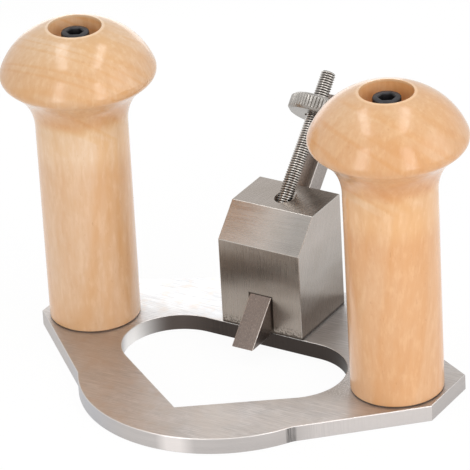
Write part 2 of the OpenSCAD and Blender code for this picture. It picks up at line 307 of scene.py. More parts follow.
def edge_marks_and_light(g, color, uv, base):
    """The plate's outer edge: a painted highlight and a bluish stretch round the nose, hatch marks
    on the right slant, which is painted lighter, and a dark patch in the hollow before it."""
    (x, y, _), (nx, ny, _) = g.surface()
    turn = g.calc("ARCTAN2", g.calc("ADD", y, -NOSE_Y), x)
    # Painted highlight: a bright upright band on the nose's wall
    nose_highlight = g.product(g.between(turn, -1.50, -1.42, -1.32, -1.22), 0.8)
    color = g.cover(color, nose_highlight, times(base, 1.55))
    bluish = g.product(g.between(turn, -2.9, -2.6, -2.1, -1.75), 0.7)
    color = g.cover(color, bluish, times(base, (0.92, 0.99, 1.08)))
    # Painted light: the right slant's wall is made lighter
    slant = g.product(g.ramp(nx, 0.3, 0.6), g.ramp(ny, -0.3, -0.6), g.ramp(x, 45, 50))
    color = g.cover(color, g.product(slant, 0.85), times(base, 1.22))
    comb = g.noise(g.mapped(uv, (38, 1.2, 1)), 1.0, 2, 0.5)
    hatch = g.product(slant, g.ramp(comb, 0.45, 0.65, 0, 0.35), g.ramp(x, 66, 46, 0.2, 1))
    color = g.cover(color, hatch, times(base, 0.75))
    patch = g.product(g.between(x, 42.2, 42.7, 44.3, 44.9),
                      g.between(y, -72.4, -71.6, -67.5, -66.5), g.ramp(comb, 0.38, 0.6, 0.35, 1))
    return g.cover(color, g.product(patch, 0.95), times(base, 0.22))


def throat_marks_and_light(g, color, uv, base):
    """The throat's wall: upright cut marks, darker to the right, and a painted reflection that
    lightens it to the left and most at its left end.
    """
    (x, _, _), _ = g.surface()
    comb = g.noise(g.mapped(uv, (22, 0.6, 1)), 1.0, 2, 0.5)
    color = g.cover(color, g.ramp(comb, 0.4, 0.7, 0, 0.5), times(base, 0.55))
    # Painted reflection: lighter to the left and brightest at the left end
    color = g.cover(color, g.ramp(x, -20, -32), times(base, 1.5))
    color = g.cover(color, g.ramp(x, -4, 12, 0, 0.7), times(base, 0.72))
    shine = g.ramp(x, -34, -43)
    return g.cover(color, g.product(shine, shine, shine), THROAT_REFLECTION)


def block_wear_and_light(g, color, uv, base):
    """The block: painted dark reflections across its front and low on its right side, painted light
    on its left chamfer and high on its right side, painted shade on its right chamfer, top and
    front, dirt specks low on the front, painted shade at the foot and in the slot, and painted
    highlights on its edges."""
    (x, y, z), (nx, ny, nz) = g.surface()
    slope = outward(g, ny, nz)
    front = g.ramp(g.product(ny, -1.0), *ROUGHLY)
    # Painted shadow along the foot, where the block meets the plate
    foot = g.ramp(z, 6.6, 7.2, 1, 0)
    specks = g.product(g.ramp(z, 7.0, 10.5, 1, 0), front,
                       g.ramp(g.noise(uv, 13.0, 2, 0.6), 0.5, 0.57, 0, 0.9))
    # Painted shade in and below the slot's mouth on the front
    slot = g.product(g.ramp(g.calc("ABSOLUTE", x), 4.85, 5.05, 1, 0), g.ramp(z, 20.6, 20.9, 1, 0),
                     g.ramp(y, -15.1, -15.0, 1, 0))
    cloudy = g.noise(g.mapped(uv, (0.9, 0.35, 1)), 1.0, 2, 0.5)
    height = g.calc("ADD", z, g.ramp(cloudy, 0.3, 0.7, -2.5, 2.5))
    # Painted dark reflection: a soft band across the front
    front_dark_reflection = g.product(front, g.between(height, 20, 27, 31, 37))
    color = g.tint(color, front_dark_reflection, (0.67, 0.64, 0.62))
    # Painted dark reflection low on the right side
    right_low_reflection = g.product(g.ramp(nx, *ROUGHLY), g.ramp(height, 26, 13))
    color = g.tint(color, right_low_reflection, (0.55, 0.50, 0.46))
    # Painted light on the left of the chamfer and high on the right side
    chamfer_left = g.product(g.ramp(slope, *SQUARELY, 0, 0.8), g.ramp(x, 0, 12, 1, 0))
    right_high = g.product(g.ramp(nx, *ROUGHLY, 0, 0.9), g.ramp(height, 28, 42))
    color = g.tint(color, g.most(chamfer_left, right_high), (1.24, 1.22, 1.22))
    # Painted shade on the right of the chamfer, then on the top and the front
    chamfer_right = g.product(g.ramp(slope, *SQUARELY), g.ramp(x, 2, 12))
    color = g.tint(color, chamfer_right, (0.86, 0.87, 0.88))
    color = g.tint(color, g.ramp(nz, *SQUARELY), (0.94, 0.91, 0.89))
    color = g.tint(color, front, (0.90, 0.86, 0.82))
    # Dirt specks, painted shadow at the foot and painted shade in the slot
    grime_and_shade = g.product(g.most(foot, specks, slot), 0.93)
    color = g.cover(color, grime_and_shade, GRIME_AND_SHADE)
    # Painted highlights on the edges
    edges = edge_mask(g, *(g.calc("ABSOLUTE", n) for n in (nx, ny, nz)), slope)
    return g.cover(color, g.product(edges, g.ramp(z, 6.6, 8.0, 0, 0.3)), BLOCK_EDGE_SHINE)


def cutter_wear_and_light(g, color, uv, base):
    """The cutter: painted shade towards its cutting end and on its outer face, a few long
    scratches, dark pits and painted highlights on its edges."""
    (_, _, z), (nx, ny, nz) = g.surface()
    out, up = outward(g, ny, nz), g.product(g.calc("ADD", ny, nz), COS45)
    # Painted shade towards the cutting end and on the outer face
    color = g.tint(color, g.ramp(z, 52, 24, 0, 0.9), (0.70, 0.66, 0.65))
    color = g.tint(color, g.ramp(out, *SQUARELY), (0.85, 0.80, 0.76))
    line = scratch(g, uv, 5.5, 0.12, 0.4, 16, 0.6, 0.68)
    color = g.cover(color, g.product(line, 0.3), times(base, 0.6))
    pits = g.noise(g.mapped(uv, (13, 24, 1)), 1.0, 4, 0.75)
    color = g.cover(color, g.ramp(pits, 0.5, 0.6, 0, 0.6), times(base, 0.4))
    color = g.cover(color, g.ramp(pits, 0.46, 0.36, 0, 0.35), times(base, 1.2))
    # Painted highlights on the edges
    edges = edge_mask(g, *(g.calc("ABSOLUTE", n) for n in (nx, up, out)))
    return g.cover(color, g.product(edges, 0.7), CUTTER_EDGE_SHINE)


def machined(name, base, rough, marks_per_mm=2.4, black=False, root_shade_color=None):
    """Turned metal with faint tool marks and cloudy handling marks. Where a root colour is given,
    it paints shade into the valleys of a thread, after the point attribute root."""
    mat, g, shader = new_material(name)
    at = g.place()
    fine = g.noise(at, 1400.0, 4, 0.6)
    wide = g.noise(at, 160.0, 4, 0.55)
    marks = g.noise(g.mapped(at, (marks_per_mm * 1000, 90, 90)), 1.0, 3, 0.6)
    dark = times(base, 0.62 if black else 0.84)
    light = times(base, 1.5 if black else 1.1)
    color = g.mix(g.ramp(wide, 0.35, 0.68), dark, light)
    color = g.cover(color, g.ramp(fine, 0.5, 0.8, 0.0, 0.35), dark)
    # Painted shade in the valleys of the thread
    if root_shade_color:
        depth = g.nodes.new("ShaderNodeAttribute")
        depth.attribute_name = "root"
        color = g.cover(color, g.ramp(depth.outputs["Fac"], 0.4, 0.95), root_shade_color)
    g.links.new(color, shader.inputs["Base Color"])
    shader.inputs["Metallic"].default_value = 0.75 if black else 1.0
    g.links.new(g.ramp(marks, 0.3, 0.7, rough * 0.8, rough * 1.25), shader.inputs["Roughness"])
    g.bump(g.calc("ADD", fine, marks), 0.5, 6, shader.inputs["Normal"])
    return mat


def growth_rings(g, vector, z, seed):
    """Growth layers as a wave from -1 to 1, tilted inside the knob."""
    rise = g.nodes.new("ShaderNodeCombineXYZ")
    g.links.new(g.ramp(z, 80, 120, 0, 0.05), rise.inputs["Y"])
    turned = g.mapped(vector, turn=(0, 0, math.radians(-60 + seed)))
    risen = g.vector("ADD", turned, rise.outputs[0])
    layers = g.noise(g.mapped(risen, (5, 44, 3.0), move=(seed * 2, 3, 1)), 1.0, 1.5, 0.4)
    return g.calc("SINE", g.product(layers, 64.0))


def wood(name, axis_x, seed, tone):
    """Turned beech under clear lacquer: growth layers, upright grain, mottle and flecks, with
    painted light and shade by height in millimetres and by facing, a painted highlight on the
    recess's lip and painted shade at the foot. tone multiplies the wood's own colours."""
    mat, g, shader = new_material(name)
    (x, y, z), (nx, _, _) = g.surface()
    local = g.mapped(g.place(), move=(-axis_x * MM, -HANDLE_Y * MM, 0))
    local = g.mapped(local, turn=(0.035 * seed, 0.02, 1.0 + 0.1 * seed))
    warp = g.noise(g.mapped(local, (1, 1, 0.28), move=(seed, 0, 0)), 16.0, 3.0, 0.5, "Color")
    warped = g.vector("MULTIPLY_ADD", warp, (0.012, 0.012, 0.0), local)
    rings = growth_rings(g, warped, z, seed)
    fibre = g.noise(g.mapped(local, (950, 950, 30), move=(seed * 3, 0, 0)), 1.0, 5, 0.7)
    band = g.noise(g.mapped(warped, (380, 160, 9), move=(seed * 5, 1, 0)), 1.0, 3, 0.55)
    blotch = g.noise(g.mapped(local, (30, 30, 12), move=(seed * 9, 4, 2)), 1.0, 4, 0.55)
    fleck = g.noise(g.mapped(local, (1000, 1000, 420), move=(seed, 2, 5)), 1.0, 2, 0.5)
    mottle = g.noise(g.mapped(local, (520, 520, 150), move=(seed, 7, 5)), 1.0, 3, 0.6)

    pale, mid = times((0.645, 0.424, 0.262), tone), times((0.635, 0.362, 0.175), tone)
    warm, deep = times((0.60, 0.30, 0.10), tone), times((0.54, 0.27, 0.105), tone)
    color = g.mix(g.ramp(blotch, 0.35, 0.68), pale, mid)
    for mask, over in ((g.ramp(rings, 0.1, 1.0, 0.0, 0.42), warm),
                       (g.ramp(band, 0.5, 0.74, 0.0, 0.34), deep),
                       (g.ramp(mottle, 0.46, 0.66, 0.0, 0.2), warm),
                       (g.ramp(mottle, 0.48, 0.32, 0.0, 0.22), times((0.78, 0.55, 0.35), tone)),
                       (g.ramp(fibre, 0.5, 0.8, 0.0, 0.3), deep),
                       (g.ramp(fleck, 0.66, 0.82, 0.0, 0.4), times((0.44, 0.2, 0.07), tone))):
        color = g.cover(color, mask, over)

    # Painted shade on the knob, its left side and its underside; painted sheen on its right and
    # crown
    knob, neck, crown = g.ramp(z, 78, 92), g.between(z, 68, 75, 85, 89), g.ramp(z, 109, 117)
    left, right = g.ramp(nx, -0.25, -0.7), g.ramp(nx, 0.25, 0.7)
    underside = g.product(g.ramp(z, 104, 94), g.ramp(z, 84, 88))
    off_x, off_y = g.calc("SUBTRACT", x, axis_x), g.calc("SUBTRACT", y, HANDLE_Y)
    away = g.calc("SQRT", g.calc("ADD", g.product(off_x, off_x), g.product(off_y, off_y)))
    recess = g.product(g.ramp(z, 119.0, 118.4), g.ramp(away, 9.75, 9.45), 0.75)
    # The neck is paler; the recess is painted lighter against its shade
    for mask, factor in ((knob, (0.918, 0.91, 0.87)), (left, (1.0, 0.945, 0.87)),
                         (right, (1.06, 1.08, 1.12)), (crown, (1.05, 1.13, 1.22)),
                         (neck, (1.09, 1.20, 1.32)), (underside, (0.97, 0.875, 0.74)),
                         (recess, (1.30, 1.18, 1.05))):
        color = g.tint(color, mask, factor)
    # Painted highlight on the recess's lip
    lip = g.product(g.ramp(z, 118.2, 118.7), g.ramp(away, 10.7, 10.2, 0, 0.45))
    color = g.cover(color, lip, times((0.86, 0.66, 0.46), tone))
    # Painted shade in the groove at the foot
    color = g.cover(color, g.ramp(z, 6.5, 6.35), (0.16, 0.09, 0.05))
    g.links.new(color, shader.inputs["Base Color"])
    g.links.new(g.ramp(fibre, 0.3, 0.7, 0.42, 0.52), shader.inputs["Roughness"])
    shader.inputs["Specular IOR Level"].default_value = 0.35
    shader.inputs["Coat Weight"].default_value = 0.9
    shader.inputs["Coat Roughness"].default_value = 0.15
    shader.inputs["Coat IOR"].default_value = 1.5
    g.bump(g.calc("ADD", fibre, g.product(band, 0.6)), 0.6, 12, shader.inputs["Normal"])
    g.bump(g.noise(local, 800.0, 3, 0.6), 0.8, 50, shader.inputs["Coat Normal"])
    return mat


PLATE = brushed("plate_brushed_steel", (0.455, 0.43, 0.415), rough=0.42, grain=1.0, cloud=0.055,
                aniso=0.2, bump_um=7.0, spot_color=(0.425, 0.395, 0.378), wear_and_light=top_wear_and_light)
EDGE = brushed("plate_ground_edge", (0.52, 0.49, 0.475), rough=0.40, grain=1.0, cloud=0.04,
               aniso=0.3, bump_um=5.0, wear_and_light=edge_marks_and_light)
THROAT = brushed("throat_cut_edge", (0.070, 0.058, 0.052), rough=0.42, grain=1.0, cloud=0.08,
                 aniso=0.2, bump_um=6.0, wear_and_light=throat_marks_and_light)
BLOCK = brushed("block_ground_steel", (0.405, 0.372, 0.342), rough=0.27, grain=1.1, cloud=0.042,
                aniso=0.6, bump_um=3.0, spot_color=(0.36, 0.325, 0.29), wear_and_light=block_wear_and_light)
TOOL = brushed("cutter_ground_steel", (0.37, 0.33, 0.305), rough=0.33, grain=1.3, cloud=0.09,
               aniso=0.5, bump_um=8.0, spot_color=(0.31, 0.275, 0.255), wear_and_light=cutter_wear_and_light)
KNURLED = brushed("knurled_turned_steel", (0.355, 0.335, 0.31), rough=0.27, grain=0.7, cloud=0.05,
                  aniso=0.35, bump_um=5.0)
BRIGHT = machined("bright_turned_steel", (0.70, 0.67, 0.635), 0.24, root_shade_color=(0.04, 0.034, 0.03))
BLACK = machined("black_oxide_steel", (0.038, 0.037, 0.040), 0.38, marks_per_mm=1.2, black=True)
LEFT_WOOD = wood("left_handle_wood", -HANDLE_X, 1.7, (1.0, 1.0, 1.0))
RIGHT_WOOD = wood("right_handle_wood", HANDLE_X, 4.3, (1.0, 0.90, 0.78))


def lean(points):
    """From the leaning frame to the frame of the solids."""
    x, y, z = np.asarray(points, float).T
    return np.stack([x, REAR_Y + COS45 * (y + z), TOP_Z + COS45 * (z - y)], 1)


def moved(points, x=0.0, y=0.0, z=0.0):
    """Points shifted as a whole."""
    return np.asarray(points) + np.array([x, y, z])


def make_object(name, verts, faces):
    """A mesh from points in millimetres, with its normals outward."""
    mesh = bpy.data.meshes.new(name)
    points = [tuple(float(c) * MM for c in v) for v in verts]
    mesh.from_pydata(points, [], [tuple(f) for f in faces])
    bm = bmesh.new()
    bm.from_mesh(mesh)
    bmesh.ops.remove_doubles(bm, verts=bm.verts, dist=1e-7)
    bmesh.ops.recalc_face_normals(bm, faces=bm.faces)
    bm.to_mesh(mesh)
    bm.free()
    obj = bpy.data.objects.new(name, mesh)
    bpy.context.scene.collection.objects.link(obj)
    return obj


def finish_piece(obj, body, nodes, material, sharp=32, weighted=True):
    """Gives a piece its material, shading and body, and hides the imported parts it replaces. sharp
    is in degrees.
    """
    mesh = obj.data
    mesh.materials.clear()
    mesh.materials.append(material)
    mesh.polygons.foreach_set("use_smooth", [True] * len(mesh.polygons))
    mesh.set_sharp_from_angle(angle=math.radians(sharp))
    if weighted:
        mod = obj.modifiers.new("normals", "WEIGHTED_NORMAL")
        mod.keep_sharp = True
    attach(obj, body)
    for node in nodes:
        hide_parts(node)


def grain_map(obj, rule):
    """UV with U along the grain that rule(normal, centre) gives for each face."""
    per_metre = 100.0
    mesh = obj.data
    layer = mesh.uv_layers.get("grain") or mesh.uv_layers.new(name="grain")
    for poly in mesh.polygons:
        n = poly.normal.copy()
        along = Vector(rule(n, poly.center / MM))
        along = along - n * along.dot(n)
        if along.length < 1e-4:
            along = n.orthogonal()
        along.normalize()
        across = n.cross(along)
        for li in poly.loop_indices:
            co = mesh.vertices[mesh.loops[li].vertex_index].co
            layer.data[li].uv = (co.dot(along) * per_metre, co.dot(across) * per_metre)


def wall_faces(rows, n, start=0):
    """Quads between successive closed rows of n points."""
    faces = []
    for k in range(rows - 1):
        a, b = start + k * n, start + (k + 1) * n
        for i in range(n):
            j = (i + 1) % n
            faces.append((a + i, a + j, b + j, b + i))
    return faces


def ring_mesh(rings, closed=True):
    """Walls between successive rings of equal length, with flat caps if closed."""
    n = len(rings[0])
    verts = [point for ring in rings for point in ring]
    faces = wall_faces(len(rings), n)
    if closed:
        for ring, base in ((rings[0], 0), (rings[-1], (len(rings) - 1) * n)):
            verts.append(np.mean(np.asarray(ring), axis=0))
            c = len(verts) - 1
            for i in range(n):
                faces.append((base + i, base + (i + 1) % n, c))
    return verts, faces


def circle_ring(radius, z, n):
    """Ring about the z axis; radius is a number or a function of the angle."""
    a = np.arange(n) * 2 * math.pi / n
    r = np.array([radius(x) for x in a]) if callable(radius) else np.full(n, float(radius))
    return np.stack([r * np.cos(a), r * np.sin(a), np.full(n, float(z))], 1)


def hexagon(apothem):
    """Radius of a hexagon by its angle."""
    def radius(a):
        return apothem / math.cos(((a + math.pi / 6) % (math.pi / 3)) - math.pi / 6)
    return radius


def knurl(r, ribs, depth):
    """Radius of a knurled rim: rounded ribs with a flat top."""
    flat = 0.42

    def radius(a):
        t = (a * ribs / (2 * math.pi)) % 1.0
        u = abs(t - 0.5) * 2
        if u > 1 - flat:
            return r
        return r - depth * (0.5 + 0.5 * math.cos(math.pi * u / (1 - flat)))
    return radius


def capped(rim, limit):
    """A rim's radius where it is below the limit, as on a chamfer that cuts its ribs."""
    return lambda a: min(rim(a), limit)


def polar(centre, r, a):
    """The point at radius r and angle a from a centre."""
    return centre[0] + r * math.cos(a), centre[1] + r * math.sin(a)


def arc(cx, cy, r, first, last, n):
    return [polar((cx, cy), r, a) for a in np.linspace(first, last, n)]


def carve(obj, tools):
    """Cuts the tools out of a body and removes them."""
    for tool in tools:
        mod = obj.modifiers.new("carve", "BOOLEAN")
        mod.operation = "DIFFERENCE"
        mod.solver = "EXACT"
        mod.object = tool
    graph = bpy.context.evaluated_depsgraph_get()
    mesh = bpy.data.meshes.new_from_object(obj.evaluated_get(graph))
    obj.modifiers.clear()
    obj.data = mesh
    for tool in tools:
        bpy.data.objects.remove(tool)


def soften(obj, width):
    """Rounds the sharp edges of a convex body."""
    bm = bmesh.new()
    bm.from_mesh(obj.data)
    least = math.radians(20)
    edges = [e for e in bm.edges if len(e.link_faces) == 2 and e.calc_face_angle() > least]
    bmesh.ops.bevel(bm, geom=edges, offset=width * MM, segments=3, profile=0.5,
                    affect="EDGES", clamp_overlap=True)
    bm.to_mesh(obj.data)
    bm.free()


def prism(name, profile, x0, x1):
    """A YZ polygon drawn out along X."""
    n = len(profile)
    verts = [(x0, y, z) for y, z in profile] + [(x1, y, z) for y, z in profile]
    faces = [tuple(range(n)), tuple(range(n, 2 * n))]
    faces += [(i, (i + 1) % n, n + (i + 1) % n, n + i) for i in range(n)]
    return make_object(name, verts, faces)


BOX_FACES = [(0, 1, 3, 2), (4, 5, 7, 6), (0, 1, 5, 4), (2, 3, 7, 6), (0, 2, 6, 4), (1, 3, 7, 5)]


def leaning_box(name, x, y, z):
    corners = [(a, b, c) for a in x for b in y for c in z]
    return make_object(name, lean(corners), BOX_FACES)


def turned_body(name, profile, n, place):
    """A body turned from (r, z) pairs and put in place by a function of its rings."""
    verts, faces = ring_mesh([place(circle_ring(r, z, n)) for r, z in profile])
    return make_object(name, verts, faces)


# The base plate
def inset(loop, d):
    """A closed loop moved to its left by d."""
    p = np.asarray(loop, float)
    before, after = p - np.roll(p, 1, 0), np.roll(p, -1, 0) - p
    before /= np.linalg.norm(before, axis=1)[:, None]
    after /= np.linalg.norm(after, axis=1)[:, None]
    left_before = np.stack([-before[:, 1], before[:, 0]], 1)
    left_after = np.stack([-after[:, 1], after[:, 0]], 1)
    s = left_before + left_after
    return p + d * s * (2 / np.maximum((s * s).sum(1), 0.5))[:, None]


def plate_loop():
    """Outline of the plate, anticlockwise seen from above, from the nose's tip: the round nose, a
    hollow, the slant, the straight side and the rear edge, then the same on the left."""
    nose_r, nose_half, hollow_r = 50.8, 43.6, 10.0
    half_width, rear_half = 80.0, 16.5
    nose_end, slant_end = FRONT_Y - 54.4, FRONT_Y - 21.0
    side_end, rear_end = FRONT_Y + 3.5, REAR_Y + 7.5
    nose_y = nose_end + math.sqrt(nose_r ** 2 - nose_half ** 2)
    start, end = np.array([nose_half, nose_end]), np.array([half_width, slant_end])
    along = (end - start) / np.linalg.norm(end - start)
    out = np.array([along[1], -along[0]])
    nose = np.array([0.0, nose_y])
    base = start + hollow_r * out - nose
    reach = nose_r + hollow_r
    shift = -base @ along + math.sqrt((base @ along) ** 2 - base @ base + reach ** 2)
    hollow = nose + base + shift * along
    touch = hollow - hollow_r * out
    nose_turn = math.atan2(*(hollow - nose)[::-1])
    first, last = nose_turn + math.pi, math.atan2(*(touch - hollow)[::-1])
    if last >= first:
        last -= 2 * math.pi
    right = arc(0, nose_y, nose_r, -math.pi / 2, nose_turn, 60)
    right += arc(*hollow, hollow_r, first, last, 12)[1:]
    right += [(half_width, slant_end), (half_width, side_end), (rear_half, rear_end)]
    return right + [(-x, y) for x, y in reversed(right[1:])]


def throat_loop():
    """Outline of the throat, clockwise seen from above, so its left is the metal: two round ends
    and a straight run from each to the point at the front."""
    end_x, end_y, end_r, point_y = 23.1, FRONT_Y - 20.0, 20.0, FRONT_Y - 60.3
    reach = math.hypot(end_x, end_y - point_y)
    turn = math.atan2(end_y - point_y, end_x) - math.asin(end_r / reach)
    run = math.sqrt(reach ** 2 - end_r ** 2)
    touch = np.array([0.0, point_y]) + run * np.array([math.cos(turn), math.sin(turn)])
    first = math.atan2(touch[1] - end_y, touch[0] - end_x)
    right = [(0.0, point_y)] + arc(end_x, end_y, end_r, first, math.pi / 2, 70)
    loop = right + [(-x, y) for x, y in reversed(right[1:])]
    return loop[::-1]


def rounded_edge(width, z_face, up):
    """(inset, z) pairs of a rounded edge that ends in a flat face at z_face."""
    return [(width * (1 - math.cos(t)), z_face - up * width * (1 - math.sin(t)))
            for t in np.linspace(0, math.pi / 2, 4)]


def in_throat(c):
    """Whether a point in the plate's walls lies on the throat rather than on the outer edge."""
    return abs(c.x) < 43.3 and -75.8 < c.y < -15.1 and math.hypot(c.x, c.y - NOSE_Y) < 47


def build_plate():
    walls = []
    for loop, width in ((plate_loop(), 0.4), (throat_loop(), 0.3)):
        steps = rounded_edge(0.3, 0.0, -1)[::-1] + rounded_edge(width, PLATE_T, 1)
        walls.append([np.column_stack([inset(loop, d), np.full(len(loop), z)]) for d, z in steps])
    handle_hole = ((3.25, 0), (3.05, 0.2), (3.05, 5.8), (3.25, 6.0))
    block_hole = ((4.95, 0), (2.55, 2.4), (2.55, 6.0))
    for side in (-1, 1):
        for profile, n, x, y in ((handle_hole, 48, HANDLE_X, HANDLE_Y),
                                 (block_hole, 64, BLOCK_SCREW_X, 0.0)):
            walls.append([moved(circle_ring(r, z, n)[::-1], side * x, y) for r, z in profile])
    verts, faces = [], []
    bottoms, tops = [], []
    for rings in walls:
        n, start = len(rings[0]), len(verts)
        verts.extend(point for ring in rings for point in ring)
        faces += wall_faces(len(rings), n, start)
        bottoms.append(list(range(start, start + n)))
        tops.append(list(range(len(verts) - n, len(verts))))
    for group in (bottoms, tops):
        order = [i for loop in group for i in loop]
        flat = [[Vector((verts[i][0], verts[i][1], 0)) for i in loop] for loop in group]
        faces.extend([tuple(order[i] for i in tri) for tri in tessellate_polygon(flat)])
    obj = make_object("plate", verts, faces)

    def rule(n, c):
        if abs(n.z) > 0.7:
            return (1.0, 0.03, 0.0)
        return (-n.y, n.x, 0.0)
    grain_map(obj, rule)
    finish_piece(obj, "base", ["base_plate"], PLATE)
    obj.data.materials.append(EDGE)
    obj.data.materials.append(THROAT)
    for poly in obj.data.polygons:
        if abs(poly.normal.z) <= 0.5:
            poly.material_index = 2 if in_throat(poly.center / MM) else 1


# The block, the cutter and the stud
def build_block():
    half_width, chamfer, screw_r, gap = 16.5, 11, 3.05, 0.1
    profile = [(FRONT_Y, PLATE_T), (FRONT_Y, TOP_Z - chamfer), (FRONT_Y + chamfer, TOP_Z),
               (REAR_Y, TOP_Z), (REAR_Y, PLATE_T)]
    obj = prism("block", profile, -half_width, half_width)
    soften(obj, 0.28)
    channel = leaning_box("channel", (-CUTTER_HALF - gap, CUTTER_HALF + gap),
                          (CUTTER_NEAR - gap, CUTTER_FAR + gap), (-120, 60))
    stud_hole = [(0.3, -19.2), (2.8, -18.2), (2.8, -8.85), (3.65, -8), (3.65, 0.0), (3.65, 12)]
    hole = turned_body("hole", stud_hole, 64, lambda r: lean(moved(r, 0, STUD_AT, STUD_AT)))

    def from_behind(r):
        return np.stack([r[:, 0], REAR_Y - r[:, 2], LOCK_Z + r[:, 1]], 1)
    lock = turned_body("lock_hole", [(screw_r, -1), (screw_r, 14)], 48, from_behind)
    mouth = turned_body("lock_mouth", [(screw_r, 0.35), (screw_r + 0.7, -0.35)], 48, from_behind)
    carve(obj, [channel, hole, lock, mouth])

    def rule(n, c):
        if n.y < -0.9:
            return (0.02, 0, 1)
        if abs(n.x) > 0.9:
            return (0, 0.35, 1)
        if n.y < -0.5 and n.z > 0.5:
            return (1, 0.02, 0)
        if n.z > 0.9:
            return (0.3, 1, 0)
        return (0.05, 0.3, 1)
    grain_map(obj, rule)
    finish_piece(obj, "base", ["cutter_block"], BLOCK)


def build_cutter():
    tip_z, length = 5.8, 98.5
    drop = (tip_z - TOP_Z) / COS45
    top = length + (tip_z - TOP_Z + COS45 * CUTTER_NEAR) / COS45
    corners = [(x, y, z) for x in (-CUTTER_HALF, CUTTER_HALF) for y in (CUTTER_NEAR, CUTTER_FAR)
               for z in (drop + y, top)]
    obj = make_object("cutter_bar", lean(corners), BOX_FACES)
    soften(obj, 0.3)
    carve(obj, [leaning_box("notch", (-9, 9), (CUTTER_NEAR - 2, 3.25), (23.6, 29.9))])

    def rule(n, c):
        if abs(n.x) < 0.3 and abs(n.y * COS45 + n.z * COS45) > 0.9:
            return (1, 0, 0)
        return (0.05, COS45, COS45)
    grain_map(obj, rule)
    finish_piece(obj, "cutter", ["cutter"], TOOL)


def thread_rings(low, high, r, depth, pitch, n, lead, tail):
    """Rings of a right-hand V thread; each climbs one pitch round its circle. The thread fades out
    over lead at its low end and over tail at its high end."""
    a = np.arange(n + 1) * 2 * math.pi / n
    root = r - depth
    rows = []
    for k in range(-1, int((high - low) / pitch) + 2):
        for f, radius in ((0.0, r), (0.11, r), (0.47, root), (0.61, root)):
            z = np.clip(low + (k + f) * pitch + a / (2 * math.pi) * pitch, low, high)
            rr = np.minimum(np.full(n + 1, radius), root + (z - low) / lead * depth)
            rr = np.minimum(rr, root + (high - z) / tail * depth)
            rows.append(np.stack([rr * np.cos(a), rr * np.sin(a), z], 1))
    return rows


def threaded_rod(low, high, r, depth, pitch, n, lead, tail):
    """A thread closed by a flat disc at each end."""
    rows = thread_rings(low, high, r, depth, pitch, n, lead, tail)
    m = n + 1
    verts, faces = [point for row in rows for point in row], []
    for k in range(len(rows) - 1):
        for i in range(n):
            a, b = k * m + i, (k + 1) * m + i
            quad = (a, a + 1, b + 1, b)
            z = [verts[q][2] for q in quad]
            if max(z) - min(z) > 1e-6:
                faces.append(quad)
    for z in (low, high):
        base = len(verts)
        verts.extend(circle_ring(r - depth, z, n))
        verts.extend(circle_ring((r - depth) * 0.8, z, n))
        verts.append((0, 0, z))
        for i in range(n):
            j = (i + 1) % n
            faces.append((base + i, base + j, base + n + j, base + n + i))
            faces.append((base + n + i, base + n + j, base + 2 * n))
    return verts, faces


def mark_roots(obj, axis_point, axis, r, depth):
    """Point attribute "root": 0 on a thread's crest, 1 at its root."""
    mesh = obj.data
    co = np.empty(len(mesh.vertices) * 3)
    mesh.vertices.foreach_get("co", co)
    rel = co.reshape(-1, 3) / MM - np.asarray(axis_point, float)
    axis = np.asarray(axis, float) / np.linalg.norm(axis)
    away = np.linalg.norm(rel - np.outer(rel @ axis, axis), axis=1)
    layer = mesh.attributes.new("root", "FLOAT", "POINT")
    layer.data.foreach_set("value", np.clip((r - away) / depth, 0, 1))


def build_stud():
    r, depth, pitch, inside, outside = 2.74, 0.48, 0.9, 18, 48.0
    verts, faces = threaded_rod(STUD_AT - inside, STUD_AT + outside, r, depth, pitch, 56,
                                lead=0.5, tail=0.55)
    obj = make_object("stud", lean(moved(verts, 0, STUD_AT, 0)), faces)
    mark_roots(obj, lean([(0, STUD_AT, 0)])[0], (0, 1, 1), r, depth)
    finish_piece(obj, "base", ["adjuster_stud"], BRIGHT, sharp=50, weighted=False)


# The knurled nut and the lock screw
def build_nut():
    r, h, ribs, chamfer, bore, face_r, above_block = 10.0, 6.0, 50, 1.0, 2.8, 5.2, 30.8
    centre = Vector((0, 29.18, 74.20))
    rib = knurl(r, ribs, 0.36)
    half = [(bore, 0.55), (bore + 0.55, 0.0), (bore + 0.75, 0.0), (face_r, 0.0),
            (r - chamfer - 0.06, 0.0), (r - chamfer + 0.04, 0.06),
            (capped(rib, r - chamfer * 0.62), chamfer * 0.38),
            (capped(rib, r - chamfer * 0.3), chamfer * 0.7),
            (capped(rib, r - 0.05), chamfer * 0.95), (rib, chamfer + 0.08)]
    profile = half + [(rib, h / 2)] + [(rad, h - z) for rad, z in reversed(half)] + [half[0]]
    n = ribs * 10
    verts, faces = ring_mesh([circle_ring(rad, z, n) for rad, z in profile], closed=False)
    obj = make_object("knurled_nut", lean(moved(verts, 0, STUD_AT, STUD_AT + above_block)), faces)

    def rule(n, c):
        axis = Vector((0, COS45, COS45))
        if abs(n.dot(axis)) > 0.8:
            return axis.cross(Vector(c) - centre)
        return axis
    grain_map(obj, rule)
    finish_piece(obj, "nut", ["adjuster_nut"], KNURLED, sharp=26)


